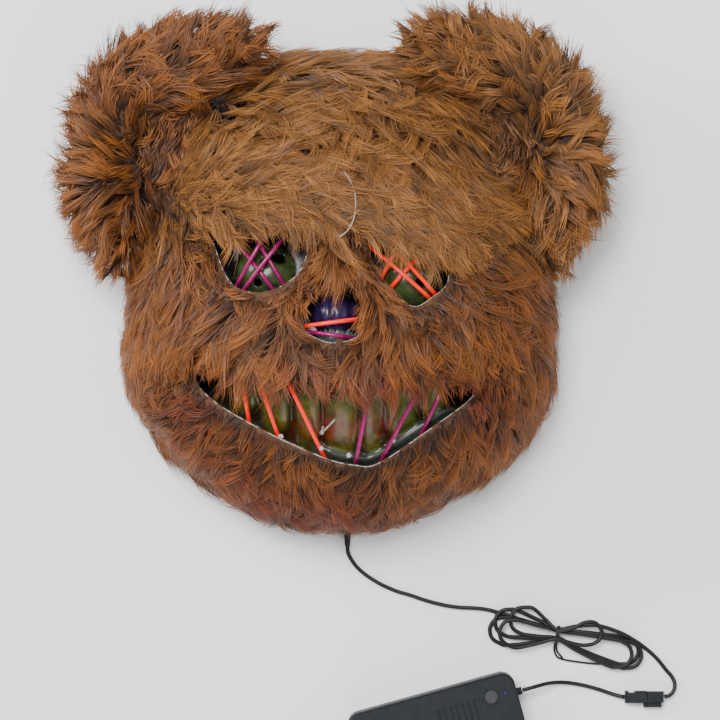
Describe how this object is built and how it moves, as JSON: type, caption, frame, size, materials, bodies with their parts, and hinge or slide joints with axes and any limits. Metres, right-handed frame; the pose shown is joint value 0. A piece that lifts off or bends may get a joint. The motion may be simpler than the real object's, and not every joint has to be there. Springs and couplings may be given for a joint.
{
  "type": "light-up furry bear mask with battery box",
  "caption": "Full-face furry bear mask with round ears, stitched light wires over its sockets, and a bundled lead to a battery box.",
  "frame": {"origin": "on the floor, under the middle of the box round the mask and its battery box", "axes": "+Z out of the face, as the mask lies on its rim; +Y from chin to forehead; +X to the right of a viewer who faces the mask"},
  "size_m": [0.343, 0.418, 0.1116],
  "materials": {
    "painted_shell": "mottled green, black and red paint, glossy",
    "brown_fur": "long orange-brown pile",
    "tan_fur": "long tan pile",
    "magenta_wire": "glossy sleeve",
    "red_wire": "glossy sleeve",
    "clear_plastic": "clear, glossy",
    "elastic": "woven elastic",
    "black_rubber": "satin cable sleeve",
    "black_plastic": "fine texture",
    "button_plastic": "smooth",
    "lamp_plastic": "glossy lens"
  },
  "bodies": {
    "mask": {"face_shell": "painted_shell", "fur_cover": "brown_fur", "brow_left": "tan_fur", "brow_right": "tan_fur", "ear_left": "brown_fur", "ear_right": "tan_fur", "eye_stitch_left_1": "magenta_wire", "eye_stitch_left_2": "magenta_wire", "eye_stitch_left_3": "magenta_wire", "eye_stitch_left_4": "magenta_wire", "eye_stitch_right_1": "red_wire", "eye_stitch_right_2": "red_wire", "eye_stitch_right_3": "red_wire", "eye_stitch_right_4": "red_wire", "nose_stitch_red": "red_wire", "nose_stitch_magenta": "magenta_wire", "mouth_stitch_red_1": "red_wire", "mouth_stitch_red_2": "red_wire", "mouth_stitch_red_3": "red_wire", "mouth_stitch_magenta_1": "magenta_wire", "mouth_stitch_magenta_2": "magenta_wire", "mouth_stitch_magenta_3": "magenta_wire", "tag_pin": "clear_plastic", "elastic_strap": "elastic", "lead_sleeve": "black_rubber", "cord_lead": "black_rubber", "cord_hank": "black_rubber", "hank_tie": "black_rubber", "cord_tail": "black_rubber", "connector_plug": "black_plastic", "connector_socket": "black_plastic", "cord_battery": "black_rubber", "battery_base": "black_plastic", "battery_case": "black_plastic", "status_lamp": "lamp_plastic"},
    "button": {"power_button": "button_plastic"}
  },
  "joints": [
    {"name": "button_press", "type": "slide", "parent": "mask", "child": "button", "axis": [0, 0, -1], "range_m": [0, 0.0008], "stiffness_N_per_m": 300}
  ]
}
